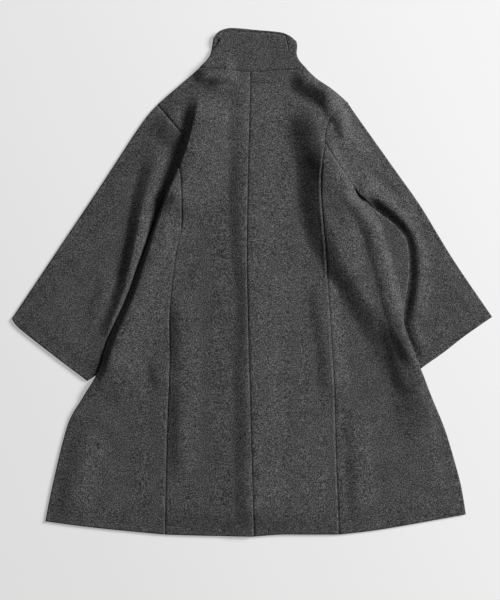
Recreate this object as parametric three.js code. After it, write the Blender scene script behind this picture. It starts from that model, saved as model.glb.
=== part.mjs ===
// A-line wool coat with a standing collar, laid out back up on a flat surface.
// Millimetres, +Z up, +Y towards the collar, the back of the coat on top.
import * as THREE from "three";

// Cloth and seams.
const WALL = 2.4;
const COLLAR_WALL = 3.6;
const SEAM_GAP = 0.3;
const UNDERARM_GAP = 0.22;

// Heights of the middle of each layer of cloth.
const FLOOR_LAYER = WALL / 2;
const TOP_LAYER = 7.2;
const LAP_LIFT = 2.8;
const SQUEEZED_SLEEVE = 4.2;
const FRONT_OVER_SLEEVE = 6.6;
const BACK_OVER_SLEEVE = 4.4;

// A closed edge turns from the lower cloth to the upper cloth within this distance.
const EDGE_TURN = 3;
const EDGE_STEPS = [0, 0.9, 3];
const SLANTED_EDGE_STEPS = [0, 0.9, 3, 8];

// How far the fronts cross each other at the middle, and the gap between the collar's ends.
const LAP = 25;
const LAP_RAMP = { from: -63, to: -33 };
const COLLAR_END_GAP = 1;
const FRONT_HEM_RISE = 3;

// Where the body is lifted over a sleeve, and where the sleeve is pressed down beside the body.
const LIFT_REACH = { flat: 14, ramp: 30 };
const PRESS_REACH = { flat: 6, ramp: 22 };
const UNDERARM_CLEAR = { from: 4, to: 28 };

// How finely lines are followed and panels divided: millimetres along the cloth for the steps and
// places, and a count of columns for each edge.
const LINE_STEP = 4;
const LENGTH_DIVISIONS = 400;
const SLOPE_STEP = 0.5;
const ON_LINE = 0.05;
const FALL_STEP = 36;
const CLOSE_FALL_PLACES = [0, 8, 16, 24, 32, 48, 64, 90];
// The number of line steps of a sleeve's outer edge that run over its head.
const HEAD_STEPS = 30;
const COLUMNS = { neck: 4, shoulder: 4, armhole: 8, side: 7, sleeve: 8 };
const SIDE_STEPS = { end: true, grade: 1.3, edge: SLANTED_EDGE_STEPS };
const FRONT_STEPS = { end: true, grade: 1.6 };

// The share of a sleeve's inner side that its seam under the arm takes up, and the share of that
// seam after which the sleeve draws off the body.
const UNDER_SEAM_SHARE = 0.3;
const SHIFT_FROM = 0.7;

const CLOTH_COLOUR = 0x47474a;

// The outline and the seams, side by side. Each line is a smooth curve through its points.
const CENTRE_BACK = [[-3, 432], [-10, 121], [-8, -76], [4, -519]];
const CENTRE_FRONT = { top: 372, bottom: -516 };
const LEFT = {
  neckBack: [[-3, 432], [-28, 433], [-56, 436], [-106, 439]],
  neckFront: [[0, 372], [-40, 381], [-80, 408], [-106, 439]],
  collarSide: [[-77, 502], [-79, 490], [-83, 469], [-91, 455], [-106, 439]],
  shoulder: [[-106, 439], [-127, 421], [-156, 396], [-193, 364]],
  armholeBack: [[-193, 364], [-176, 344], [-156, 320], [-142, 303], [-138, 285], [-142, 262], [-150, 243]],
  underBack: [[-150, 243], [-159, 215], [-168, 192], [-178, 173]],
  armholeFront: [[-193, 364], [-164, 332], [-148, 290], [-145, 240], [-150, 200]],
  underFront: [[-150, 200], [-162, 183], [-178, 173]],
  princess: [[-150, 243], [-145, 215], [-143, 174], [-144, 113], [-156, 55], [-168, -59], [-168, -158],
    [-174, -322], [-178, -515]],
  hemBack: [[4, -519], [-55, -518], [-111, -517], [-178, -515]],
  hemSide: [[-178, -515], [-254, -508], [-340, -499], [-422, -488]],
  bodyEdge: [[-178, 173], [-195, 125], [-226, 47], [-253, -27], [-293, -117], [-314, -182], [-346, -236],
    [-371, -278], [-387, -328], [-409, -422], [-422, -488]],
  sleeveOuter: [[-193, 364], [-229, 320], [-311, 195], [-400, 62], [-491, -74]],
  cuff: [[-491, -74], [-475, -94], [-404, -150], [-338, -200]],
  sleeveInner: [[-181, 174], [-192, 144], [-194, 124], [-198, 95], [-217, 47], [-243, -27], [-283, -117],
    [-298, -158], [-314, -183], [-338, -200]],
};
const RIGHT = {
  neckBack: [[-3, 432], [20, 432], [49, 435], [111, 437]],
  neckFront: [[0, 372], [42, 380], [84, 406], [111, 437]],
  collarSide: [[89, 495], [91, 485], [90, 468], [96, 454], [111, 437]],
  shoulder: [[111, 437], [133, 415], [164, 394], [197, 367]],
  armholeBack: [[197, 367], [176, 351], [159, 334], [150, 310], [148, 284]],
  underBack: [[148, 284], [160, 264], [176, 240], [200, 205], [217, 176]],
  armholeFront: [[197, 367], [168, 336], [152, 292], [150, 245], [160, 208]],
  underFront: [[160, 208], [182, 190], [217, 176]],
  princess: [[148, 284], [143, 246], [140, 205], [142, 150], [151, 60], [156, -27], [162, -117],
    [168, -223], [172, -363], [178, -515]],
  hemBack: [[4, -519], [58, -515], [120, -515], [178, -515]],
  hemSide: [[178, -515], [240, -508], [304, -498], [437, -474]],
  bodyEdge: [[217, 176], [254, 146], [295, 113], [316, 80], [320, 23], [314, -27], [308, -64], [310, -92],
    [328, -139], [345, -180], [369, -240], [393, -297], [411, -355], [427, -415], [437, -474]],
  sleeveOuter: [[197, 367], [206, 352], [294, 228], [346, 154], [412, 46], [491, -70]],
  cuff: [[491, -70], [435, -109], [394, -141], [353, -170], [324, -193]],
  sleeveInner: [[219, 179], [244, 158.5], [254, 138], [260, 105], [271, 31], [291, -43], [305, -109],
    [324, -193]],
};
const COLLAR_TOP_BACK = [[-77, 502], [-71, 511], [-59, 518], [-39, 521], [8, 517], [57, 512.5], [77, 505],
  [89, 495]];
const COLLAR_TOP_FRONT = [[-77, 502], [-50, 478], [0, 458], [60, 474], [89, 495]];

// The largest folds. Each is a ridge along its line: its height, how far it falls away on the
// left and on the right, and how far it takes to rise at its start and to die at its end.
const FOLDS = [
  { name: "shoulder blade fold", on: "both", height: 14, left: 38, right: 90, rise: 70, die: 60,
    line: [[-104, 396], [-110, 362], [-117, 329], [-127, 290], [-138, 250], [-152, 216], [-169, 176],
      [-186, 136]] },
  { name: "edge over the left sleeve", on: "body", height: 8, left: 22, right: 75, rise: 40, die: 90,
    line: [[-174, 182], [-188, 125], [-218, 47], [-245, -27], [-284, -117], [-304, -185], [-330, -235]] },
  { name: "left sleeve ridge", on: "sleeve", height: 11, left: 30, right: 22, rise: 60, die: 60,
    line: [[-206, 240], [-224, 141], [-243, 76], [-258, 14], [-276, -45], [-295, -96]] },
  { name: "right shoulder edge", on: "both", height: 11, left: 38, right: 32, rise: 30, die: 40,
    line: [[88, 440], [136, 408], [172, 372], [184, 335], [184, 300]] },
  { name: "right back ridge", on: "both", height: 19, left: 46, right: 80, rise: 60, die: 120,
    line: [[118, 386], [134, 320], [148, 252], [154, 195], [160, 125], [178, 70], [208, 5], [254, -60],
      [305, -128], [334, -190], [352, -260], [368, -320]] },
  { name: "right underarm ridge", on: "both", height: 7, left: 32, right: 22, rise: 40, die: 40,
    line: [[152, 289], [200, 205], [220, 158], [246, 121], [271, 31], [291, -43], [312, -109],
      [338, -174]] },
  { name: "right sleeve ridge", on: "sleeve", height: 9, left: 26, right: 60, rise: 70, die: 70,
    line: [[262, 200], [315, 145], [343, 85], [342, 10], [338, -60], [345, -110]] },
];

function smooth(t) {
  const clamped = Math.min(1, Math.max(0, t));
  return clamped * clamped * (3 - 2 * clamped);
}

// A smooth plan curve through points, with places on it by share of its length.
function curveOf(points) {
  const curve = new THREE.SplineCurve(points.map(([x, y]) => new THREE.Vector2(x, y)));
  curve.arcLengthDivisions = LENGTH_DIVISIONS;
  return curve;
}

// A chain of short straight steps along a curve, for measuring distances to it.
function polylineOf(points) {
  const curve = curveOf(points);
  return curve.getSpacedPoints(Math.ceil(curve.getLength() / LINE_STEP));
}

// The nearest place on a polyline: its distance, its place along the line, the direction from the
// line to the point, and on which side of the line the point lies (left is positive).
function nearestOn(line, x, y) {
  let best = { distance: Infinity };
  let travelled = 0;
  for (let i = 0; i + 1 < line.length; i += 1) {
    const a = line[i];
    const dx = line[i + 1].x - a.x;
    const dy = line[i + 1].y - a.y;
    const length = Math.hypot(dx, dy);
    const share = Math.min(1, Math.max(0, ((x - a.x) * dx + (y - a.y) * dy) / (length * length)));
    const offX = x - a.x - share * dx;
    const offY = y - a.y - share * dy;
    const distance = Math.hypot(offX, offY);
    if (distance < best.distance) {
      const left = dx * offY - dy * offX >= 0 ? 1 : -1;
      const place = travelled + share * length;
      best = { distance, place, left, offX, offY, normalX: -dy / length, normalY: dx / length };
    }
    travelled += length;
  }
  best.total = travelled;
  return best;
}

function insidePolygon(polygon, x, y) {
  let inside = false;
  for (let i = 0, j = polygon.length - 1; i < polygon.length; j = i, i += 1) {
    const a = polygon[i];
    const b = polygon[j];
    if (a.y > y !== b.y > y && x < ((b.x - a.x) * (y - a.y)) / (b.y - a.y) + a.x) inside = !inside;
  }
  return inside;
}

// Each fold's line runs down the coat, so what lies on the line's left is on the coat's right.
function foldHeight(fold, x, y) {
  const near = nearestOn(fold.polyline, x, y);
  const width = near.left > 0 ? fold.right : fold.left;
  if (near.distance >= width) return 0;
  const across = (1 - (near.distance / width) ** 2) ** 2;
  const ends = smooth(near.place / fold.rise) * smooth((near.total - near.place) / fold.die);
  return fold.height * across * ends;
}

for (const fold of FOLDS) fold.polyline = polylineOf(fold.line);

function foldsOn(layer, x, y) {
  return FOLDS.filter((fold) => fold.on === "both" || fold.on === layer)
    .reduce((sum, fold) => sum + foldHeight(fold, x, y), 0);
}

// One side of the coat with the lines that its layers are measured from. The sleeve's polygon leaves
// out its head, which the armhole seam joins to the body.
function measuredSide(side, sign) {
  const upper = [...side.collarSide, ...side.shoulder.slice(1), ...side.sleeveOuter.slice(1)];
  return {
    ...side,
    sign,
    upperEdge: polylineOf(upper),
    bodyEdgeLine: polylineOf(side.bodyEdge),
    sleeveInnerLine: polylineOf(side.sleeveInner),
    backSeamLine: polylineOf([...side.armholeBack, ...side.underBack.slice(1)]),
    frontSeamLine: polylineOf([...side.armholeFront, ...side.underFront.slice(1)]),
    sleevePolygon: [
      ...polylineOf(side.sleeveInner),
      ...polylineOf([...side.cuff].reverse()),
      ...polylineOf(side.sleeveOuter).reverse().slice(0, -HEAD_STEPS),
    ],
  };
}

const SIDES = [measuredSide(LEFT, -1), measuredSide(RIGHT, 1)];

// How much the body is lifted at a place, because a sleeve lies under it, from 0 to 1.
function liftShare(side, seamLine, x, y) {
  const away = insidePolygon(side.sleevePolygon, x, y) ? 0 : nearestOn(side.sleevePolygon, x, y).distance;
  const reach = 1 - smooth((away - LIFT_REACH.flat) / LIFT_REACH.ramp);
  if (reach === 0) return 0;
  const clear = nearestOn(seamLine, x, y).distance;
  return reach * smooth((clear - UNDERARM_CLEAR.from) / (UNDERARM_CLEAR.to - UNDERARM_CLEAR.from));
}

function backLayer(side, x, y) {
  return TOP_LAYER + BACK_OVER_SLEEVE * liftShare(side, side.backSeamLine, x, y) + foldsOn("body", x, y);
}

function frontLayer(side, x, y) {
  const lap = side.sign < 0 ? LAP_LIFT * smooth((x - LAP_RAMP.from) / (LAP_RAMP.to - LAP_RAMP.from)) : 0;
  return FLOOR_LAYER + lap + FRONT_OVER_SLEEVE * liftShare(side, side.frontSeamLine, x, y);
}

function sleeveLayer(side, x, y) {
  const own = TOP_LAYER + foldsOn("sleeve", x, y);
  const near = nearestOn(side.bodyEdgeLine, x, y);
  const outside = near.left * side.sign > 0 ? near.distance : 0;
  const clear = nearestOn(side.backSeamLine, x, y).distance;
  const pressed = (1 - smooth((outside - PRESS_REACH.flat) / PRESS_REACH.ramp))
    * smooth((clear - UNDERARM_CLEAR.from) / (UNDERARM_CLEAR.to - UNDERARM_CLEAR.from));
  return own + (SQUEEZED_SLEEVE - own) * pressed;
}

// The direction straight out of a layer's surface, from its slope.
function layerNormal(layer, x, y) {
  const slopeX = (layer(x + SLOPE_STEP, y) - layer(x - SLOPE_STEP, y)) / (2 * SLOPE_STEP);
  const slopeY = (layer(x, y + SLOPE_STEP) - layer(x, y - SLOPE_STEP)) / (2 * SLOPE_STEP);
  return new THREE.Vector3(-slopeX, -slopeY, 1).normalize();
}

// A place on the upper (side 1) or lower (side -1) cloth of a flattened tube. Near a closed edge
// the cloth turns round it, so the upper and lower cloth meet halfway up.
function clothPoint([x, y], layers, edges, upOrDown) {
  let nearest = { distance: Infinity };
  for (const edge of edges) {
    const near = nearestOn(edge.line, x, y);
    if (near.distance < nearest.distance) nearest = { ...near, edge };
  }
  const layer = upOrDown > 0 ? layers.upper : layers.lower;
  const flat = layerNormal(layer, x, y).multiplyScalar(upOrDown);
  const reach = Math.min(1, Math.max(0, nearest.distance - ON_LINE) / EDGE_TURN);
  const level = Math.sqrt(1 - (1 - reach) ** 2);
  const middle = (layers.upper(x, y) + layers.lower(x, y)) / 2 + upOrDown * nearest.edge.gap / 2;
  const z = middle + (layer(x, y) - middle) * level;
  const onLine = nearest.distance < ON_LINE;
  const inX = onLine ? nearest.normalX * nearest.edge.inward : nearest.offX / nearest.distance;
  const inY = onLine ? nearest.normalY * nearest.edge.inward : nearest.offY / nearest.distance;
  const normal = flat.multiplyScalar(level).add(new THREE.Vector3(-inX, -inY, 0).multiplyScalar(1 - reach));
  return { place: new THREE.Vector3(x, y, z), normal: normal.normalize() };
}

// Shares along a length: close steps at an edge that turns, and steps between them that are even
// or, with a grade over 1, grow away from the end.
function steps(length, count, { start = false, end = false, grade = 1, edge = EDGE_STEPS } = {}) {
  const reach = edge[edge.length - 1];
  const close = edge.slice(0, -1);
  const first = start ? reach : 0;
  const last = end ? length - reach : length;
  const list = start ? [...close] : [];
  for (let i = 0; i <= count; i += 1) list.push(last - (last - first) * (1 - i / count) ** grade);
  if (end) list.push(...close.reverse().map((place) => length - place));
  return list.map((place) => place / length);
}

// Shares down a side, close together below the underarm and FALL_STEP apart further down.
function fallSteps(length) {
  const from = CLOSE_FALL_PLACES[CLOSE_FALL_PLACES.length - 1];
  const count = Math.round((length - from) / FALL_STEP);
  const places = [...CLOSE_FALL_PLACES];
  for (let i = 1; i <= count; i += 1) places.push(from + ((length - from) * i) / count);
  return places.map((place) => place / length);
}

// Several curves as one boundary. Each takes the share of the boundary that it is given.
function boundary(...parts) {
  const curves = parts.map(([points, share]) => ({ curve: curveOf(points), share }));
  return (t) => {
    let from = 0;
    for (const { curve, share } of curves) {
      if (t <= from + share + 1e-9) return curve.getPointAt(Math.min(1, (t - from) / share));
      from += share;
    }
    return curves[curves.length - 1].curve.getPointAt(1);
  };
}

// A plan place inside four boundaries: inner and outer run down, top and bottom run outwards. The
// shapes of the top and the bottom fade across the patch, the top's as fast as topFade says.
function planPatch({ inner, outer, top, bottom, topFade = 1 }) {
  const along = (a, b, t, axis) => (1 - t) * a[axis] + t * b[axis];
  return (u, v) => ["x", "y"].map((axis) => along(inner(v), outer(v), u, axis)
    + (1 - v) ** topFade * (top(u)[axis] - along(inner(0), outer(0), u, axis))
    + v * (bottom(u)[axis] - along(inner(1), outer(1), u, axis)));
}

// Draws a plan grid in from a seam, by half the seam's gap or by the distance given.
function insetSeam(grid, seam) {
  const by = seam.by ?? SEAM_GAP / 2;
  const rows = grid.length;
  const columns = grid[0].length;
  const picks = {
    top: [columns, (k) => [0, k], (k) => [1, k]],
    bottom: [columns, (k) => [rows - 1, k], (k) => [rows - 2, k]],
    inner: [rows, (k) => [k, 0], (k) => [k, 1]],
    outer: [rows, (k) => [k, columns - 1], (k) => [k, columns - 2]],
  };
  const [count, onSeam, beside] = picks[seam.at];
  const first = seam.from ?? 0;
  const last = seam.to ?? count - 1;
  const moves = [];
  let inward = 0;
  for (let k = first; k <= last; k += 1) {
    const at = (index) => grid[onSeam(index)[0]][onSeam(index)[1]];
    const before = at(Math.max(first, k - 1));
    const after = at(Math.min(last, k + 1));
    const across = new THREE.Vector2(before[1] - after[1], after[0] - before[0]).normalize();
    const inside = grid[beside(k)[0]][beside(k)[1]];
    const here = at(k);
    inward += across.x * (inside[0] - here[0]) + across.y * (inside[1] - here[1]);
    moves.push({ here, across });
  }
  const step = by * Math.sign(inward);
  const moved = moves.map(({ here, across }) => [here[0] + across.x * step, here[1] + across.y * step]);
  moved.forEach((place, k) => {
    const [row, column] = onSeam(first + k);
    grid[row][column] = place;
  });
}

// A closed wall of cloth round a grid of middle points.
function wallSolid(grid, wall) {
  const rows = grid.length;
  const columns = grid[0].length;
  const positions = [];
  for (const side of [1, -1]) {
    for (const { place, normal } of grid.flat()) {
      positions.push(...place.clone().addScaledVector(normal, (side * wall) / 2).toArray());
    }
  }
  const index = (i, j, under) => i * columns + j + (under ? rows * columns : 0);
  const faces = [];
  const quad = (a, b, c, d) => faces.push(a, b, c, a, c, d);
  for (let i = 0; i + 1 < rows; i += 1) {
    for (let j = 0; j + 1 < columns; j += 1) {
      quad(index(i, j), index(i, j + 1), index(i + 1, j + 1), index(i + 1, j));
      quad(index(i, j, true), index(i + 1, j, true), index(i + 1, j + 1, true), index(i, j + 1, true));
    }
  }
  const last = { row: rows - 1, column: columns - 1 };
  for (let j = 0; j < last.column; j += 1) {
    quad(index(0, j + 1), index(0, j), index(0, j, true), index(0, j + 1, true));
    const edge = [[j, false], [j + 1, false], [j + 1, true], [j, true]];
    quad(...edge.map(([column, under]) => index(last.row, column, under)));
  }
  for (let i = 0; i < last.row; i += 1) {
    quad(index(i + 1, 0), index(i + 1, 0, true), index(i, 0, true), index(i, 0));
    const edge = [[i + 1, false], [i, false], [i, true], [i + 1, true]];
    quad(...edge.map(([row, under]) => index(row, last.column, under)));
  }
  if (signedVolume(positions, faces) < 0) faces.reverse();
  const geometry = new THREE.BufferGeometry();
  geometry.setAttribute("position", new THREE.Float32BufferAttribute(positions, 3));
  geometry.setIndex(faces);
  geometry.computeVertexNormals();
  return geometry;
}

function signedVolume(positions, faces) {
  const corner = (k) => new THREE.Vector3().fromArray(positions, 3 * faces[k]);
  let volume = 0;
  for (let k = 0; k < faces.length; k += 3) {
    volume += corner(k).dot(corner(k + 1).cross(corner(k + 2))) / 6;
  }
  return volume;
}

function clothMesh(name, geometry) {
  const material = new THREE.MeshStandardMaterial({ color: CLOTH_COLOUR, roughness: 0.95, metalness: 0 });
  const mesh = new THREE.Mesh(geometry, material);
  mesh.name = name;
  return mesh;
}

function lengthOf(points) {
  return curveOf(points).getLength();
}

// The places along the armholes that the sleeves share with the body.
function armholeSteps(side, which) {
  return {
    arm: steps(lengthOf(side[`armhole${which}`]), COLUMNS.armhole, { start: true, end: true }),
    under: steps(lengthOf(side[`under${which}`]), COLUMNS.side, SIDE_STEPS),
  };
}

function sharesOf(lengths) {
  const total = lengths.reduce((sum, length) => sum + length, 0);
  return lengths.map((length) => length / total);
}

function bodyLayers(side) {
  return { upper: (x, y) => backLayer(side, x, y), lower: (x, y) => frontLayer(side, x, y) };
}

function bodyEdges(side) {
  return [
    { line: side.upperEdge, inward: side.sign > 0 ? -1 : 1, gap: SEAM_GAP },
    { line: side.bodyEdgeLine, inward: side.sign > 0 ? -1 : 1, gap: SEAM_GAP },
  ];
}

// The wall of cloth over a plan grid, on the upper (side 1) or lower (side -1) layer.
function clothOver(plan, layers, edges, upOrDown) {
  return plan.map((row) => row.map((place) => clothPoint(place, layers, edges, upOrDown)));
}

function bodyCloth(plan, side, upOrDown) {
  return wallSolid(clothOver(plan, bodyLayers(side), bodyEdges(side), upOrDown), WALL);
}

// Joins the steps of boundary parts into one list for the whole boundary.
function joinedSteps(...parts) {
  const list = [0];
  let from = 0;
  for (const [stepsOfPart, share] of parts) {
    list.push(...stepsOfPart.slice(1).map((t) => from + t * share));
    from += share;
  }
  return list;
}

// The middle of the back, from the centre seam to the armhole and the shaped seam below it.
function backPanel(side) {
  const lengths = [lengthOf(side.neckBack), lengthOf(side.shoulder)];
  const [neckShare, shoulderShare] = sharesOf(lengths);
  const [armShare] = sharesOf([lengthOf(side.armholeBack), lengthOf(side.princess)]);
  const columns = joinedSteps(
    [steps(lengths[0], COLUMNS.neck, { end: true }), neckShare],
    [steps(lengths[1], COLUMNS.shoulder), shoulderShare],
  );
  const fall = fallSteps(lengthOf(side.bodyEdge));
  const rows = joinedSteps([armholeSteps(side, "Back").arm, armShare], [fall, 1 - armShare]);
  const patch = planPatch({
    inner: boundary([CENTRE_BACK, 1]),
    outer: boundary([side.armholeBack, armShare], [side.princess, 1 - armShare]),
    top: boundary([side.neckBack, neckShare], [side.shoulder, shoulderShare]),
    bottom: boundary([side.hemBack, 1]),
  });
  const plan = rows.map((v) => columns.map((u) => patch(u, v)));
  insetSeam(plan, { at: "inner" });
  insetSeam(plan, { at: "outer" });
  insetSeam(plan, { at: "top", to: columns.length - 1 - COLUMNS.shoulder });
  return bodyCloth(plan, side, 1);
}

// The side of the back, from the shaped seam to the side edge.
function sideBackPanel(side) {
  const rows = fallSteps(lengthOf(side.bodyEdge));
  const patch = planPatch({
    inner: boundary([side.princess, 1]),
    outer: boundary([side.bodyEdge, 1]),
    top: boundary([side.underBack, 1]),
    bottom: boundary([side.hemSide, 1]),
  });
  const plan = rows.map((v, row) => {
    const [a, b] = [patch(0, v), patch(1, v)];
    const width = row === 0 ? lengthOf(side.underBack) : Math.hypot(b[0] - a[0], b[1] - a[1]);
    return steps(width, COLUMNS.side, SIDE_STEPS).map((u) => patch(u, v));
  });
  insetSeam(plan, { at: "inner" });
  insetSeam(plan, { at: "top" });
  return bodyCloth(plan, side, 1);
}

// The columns of a front: its top row follows the collar's places, its lower rows the lap's ramp
// and the side edge, and the rows between pass from one to the other.
function frontColumns(topShares, width, v) {
  const lapPlaces = [0, LAP, LAP - LAP_RAMP.to, LAP - LAP_RAMP.from];
  const inner = lapPlaces.map((place) => place / width);
  const rest = 1 - inner[3];
  const outer = steps(rest * width, topShares.length - 6, FRONT_STEPS).map((t) => inner[3] + t * rest);
  const lower = [...inner.slice(0, 3), ...outer];
  return topShares.map((share, k) => share + (lower[k] - share) * smooth(v / 0.3));
}

// One front, on the floor, with its lap across the middle.
function frontPanel(side) {
  const lapX = -side.sign * LAP;
  const lapTop = [[lapX, CENTRE_FRONT.top - 2], side.neckFront[0]];
  const lengths = [LAP, lengthOf(side.neckFront), lengthOf(side.shoulder)];
  const [lapShare, neckShare, shoulderShare] = sharesOf(lengths);
  const falls = [lengthOf(side.armholeFront), lengthOf(side.underFront), lengthOf(side.bodyEdge)];
  const [armShare, underShare, edgeShare] = sharesOf(falls);
  const edgeSteps = armholeSteps(side, "Front");
  const rows = joinedSteps(
    [edgeSteps.arm, armShare],
    [edgeSteps.under, underShare],
    [fallSteps(falls[2]), edgeShare],
  );
  const topShares = joinedSteps(
    [[0, 1], lapShare],
    [steps(lengths[1], COLUMNS.neck, { end: true }), neckShare],
    [steps(lengths[2], COLUMNS.shoulder), shoulderShare],
  );
  const hem = [...side.hemBack.slice(1), ...side.hemSide.slice(1)].map(([x, y]) => [x, y + FRONT_HEM_RISE]);
  hem[hem.length - 1] = side.bodyEdge[side.bodyEdge.length - 1];
  const lapEdge = boundary([[[lapX, CENTRE_FRONT.top - 2], [lapX, CENTRE_FRONT.bottom]], 1]);
  const patch = planPatch({
    topFade: 5,
    inner: (v) => lapEdge(v ** 0.8),
    outer: boundary(
      [side.armholeFront, armShare],
      [side.underFront, underShare],
      [side.bodyEdge, edgeShare],
    ),
    top: boundary([lapTop, lapShare], [side.neckFront, neckShare], [side.shoulder, shoulderShare]),
    bottom: boundary([[[lapX, CENTRE_FRONT.bottom], ...hem], 1]),
  });
  const plan = rows.map((v) => {
    const [a, b] = [patch(0, v), patch(1, v)];
    return frontColumns(topShares, Math.hypot(b[0] - a[0], b[1] - a[1]), v).map((u) => patch(u, v));
  });
  insetSeam(plan, { at: "top", to: topShares.length - 1 - COLUMNS.shoulder });
  insetSeam(plan, { at: "outer", to: edgeSteps.arm.length + edgeSteps.under.length - 2 });
  return bodyCloth(plan, side, -1);
}

// The sleeve's end of the seam under the arm draws off the body's over the seam's last stretch.
function underarmShift(side, t) {
  const [bodyX, bodyY] = side.bodyEdge[0];
  const [sleeveX, sleeveY] = side.sleeveInner[0];
  const share = smooth((t - SHIFT_FROM) / (1 - SHIFT_FROM));
  return new THREE.Vector2(sleeveX - bodyX, sleeveY - bodyY).multiplyScalar(share);
}

// The plan of the upper or lower cloth of a sleeve, from its inner seam to its outer edge.
function sleevePlan(side, which) {
  const arm = side[`armhole${which}`];
  const shares = armholeSteps(side, which);
  const seamShare = UNDER_SEAM_SHARE;
  const seamSide = boundary([side[`under${which}`], seamShare], [side.sleeveInner, 1 - seamShare]);
  const fall = fallSteps(lengthOf(side.sleeveInner));
  const rows = joinedSteps([shares.under, seamShare], [fall, 1 - seamShare]);
  const shift = (v) => underarmShift(side, v / seamShare);
  const patch = planPatch({
    inner: (v) => (v > seamShare ? seamSide(v) : seamSide(v).clone().add(shift(v))),
    outer: boundary([side.sleeveOuter, 1]),
    top: boundary([[...arm].reverse(), 1]),
    bottom: boundary([[...side.cuff].reverse(), 1]),
  });
  const plan = rows.map((v, row) => {
    const [a, b] = [patch(0, v), patch(1, v)];
    const width = row === 0 ? lengthOf(arm) : Math.hypot(b[0] - a[0], b[1] - a[1]);
    return steps(width, COLUMNS.sleeve, { start: true, end: true }).map((u) => patch(u, v));
  });
  insetSeam(plan, { at: "top" });
  insetSeam(plan, { at: "inner", to: shares.under.length - 1, by: UNDERARM_GAP });
  return plan;
}

// A sleeve is one sheet, round from its inner seam under the arm and back to it.
function sleeve(side) {
  const layers = { upper: (x, y) => sleeveLayer(side, x, y), lower: () => FLOOR_LAYER };
  const edges = [
    { line: side.upperEdge, inward: side.sign > 0 ? -1 : 1, gap: 0 },
    { line: side.sleeveInnerLine, inward: side.sign > 0 ? 1 : -1, gap: SEAM_GAP },
  ];
  const upper = clothOver(sleevePlan(side, "Back"), layers, edges, 1);
  const lower = clothOver(sleevePlan(side, "Front"), layers, edges, -1);
  return wallSolid(upper.map((row, i) => [...lower[i].slice(0, -1), ...row.reverse()]), WALL);
}

// The collar is one sheet, round from its end at the middle of the front and back to it.
function collar() {
  const [left, right] = SIDES;
  const edges = SIDES.map((side) => ({ line: side.upperEdge, inward: side.sign > 0 ? -1 : 1, gap: 0 }));
  const layers = { upper: (x, y) => TOP_LAYER + foldsOn("body", x, y), lower: () => COLLAR_WALL / 2 };
  const rows = [0, 0.25, 0.5, 0.75, 1];
  const half = (neck) => steps(lengthOf(neck), COLUMNS.neck, { end: true });
  const columnsOf = (leftNeck, rightNeck) => [
    ...half(leftNeck).reverse().map((t) => 0.5 - t / 2),
    ...half(rightNeck).slice(1).map((t) => 0.5 + t / 2),
  ];
  const planOf = (leftNeck, rightNeck, top, columns) => {
    const patch = planPatch({
      inner: boundary([[...left.collarSide].reverse(), 1]),
      outer: boundary([[...right.collarSide].reverse(), 1]),
      top: boundary([[...leftNeck].reverse(), 0.5], [rightNeck, 0.5]),
      bottom: boundary([top, 1]),
    });
    const plan = rows.map((v) => columns.map((u) => patch(u, v)));
    insetSeam(plan, { at: "top", by: SEAM_GAP });
    return plan;
  };
  const backColumns = columnsOf(left.neckBack, right.neckBack);
  const backPlan = planOf(left.neckBack, right.neckBack, COLLAR_TOP_BACK, backColumns);
  const frontShares = columnsOf(left.neckFront, right.neckFront);
  const middle = (frontShares.length - 1) / 2;
  const frontPlan = planOf(left.neckFront, right.neckFront, COLLAR_TOP_FRONT, frontShares);
  const at = (place, side) => clothPoint(place, layers, edges, side);
  const grid = rows.map((_, i) => {
    const [middleX, middleY] = frontPlan[i][middle];
    const leftEnd = [[middleX - COLLAR_END_GAP, middleY], ...frontPlan[i].slice(1, middle).reverse()];
    const rightEnd = [...frontPlan[i].slice(middle + 1, -1).reverse(), [middleX + COLLAR_END_GAP, middleY]];
    return [
      ...leftEnd.map((place) => at(place, -1)),
      ...backPlan[i].map((place) => at(place, 1)),
      ...rightEnd.map((place) => at(place, -1)),
    ];
  });
  return wallSolid(grid, COLLAR_WALL);
}

const coat = new THREE.Group();
for (const [side, name] of [[SIDES[0], "left"], [SIDES[1], "right"]]) {
  coat.add(clothMesh(`back_${name}`, backPanel(side)));
  coat.add(clothMesh(`side_back_${name}`, sideBackPanel(side)));
  coat.add(clothMesh(`front_${name}`, frontPanel(side)));
  coat.add(clothMesh(`sleeve_${name}`, sleeve(side)));
}
coat.add(clothMesh("collar", collar()));

// The coat stands on its own lowest point, with the middle of its outline at the origin.
const size = new THREE.Box3().setFromObject(coat);
coat.position.set(-(size.min.x + size.max.x) / 2, -(size.min.y + size.max.y) / 2, -size.min.z);

export default coat;
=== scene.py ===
import math

import bpy
import numpy as np
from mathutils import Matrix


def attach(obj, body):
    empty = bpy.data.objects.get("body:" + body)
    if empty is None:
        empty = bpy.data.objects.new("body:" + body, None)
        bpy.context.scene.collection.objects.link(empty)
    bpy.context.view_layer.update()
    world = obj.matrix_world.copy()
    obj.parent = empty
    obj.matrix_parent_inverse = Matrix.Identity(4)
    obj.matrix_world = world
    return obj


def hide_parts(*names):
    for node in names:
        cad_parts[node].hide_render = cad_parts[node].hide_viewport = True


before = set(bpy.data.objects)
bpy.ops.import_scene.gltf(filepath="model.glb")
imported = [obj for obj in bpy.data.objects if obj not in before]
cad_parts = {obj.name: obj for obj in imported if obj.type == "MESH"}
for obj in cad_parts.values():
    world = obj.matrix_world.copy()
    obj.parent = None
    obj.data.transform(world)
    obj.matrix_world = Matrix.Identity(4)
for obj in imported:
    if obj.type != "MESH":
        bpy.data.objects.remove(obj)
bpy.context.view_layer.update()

METRE = 1000.0

# The walls of the cloth, the gap at a seam, and how near to an edge the cloth turns round it.
WALL = 2.4
COLLAR_WALL = 3.6
SEAM_GAP = 0.3
EDGE_TURN = 1.8

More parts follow.
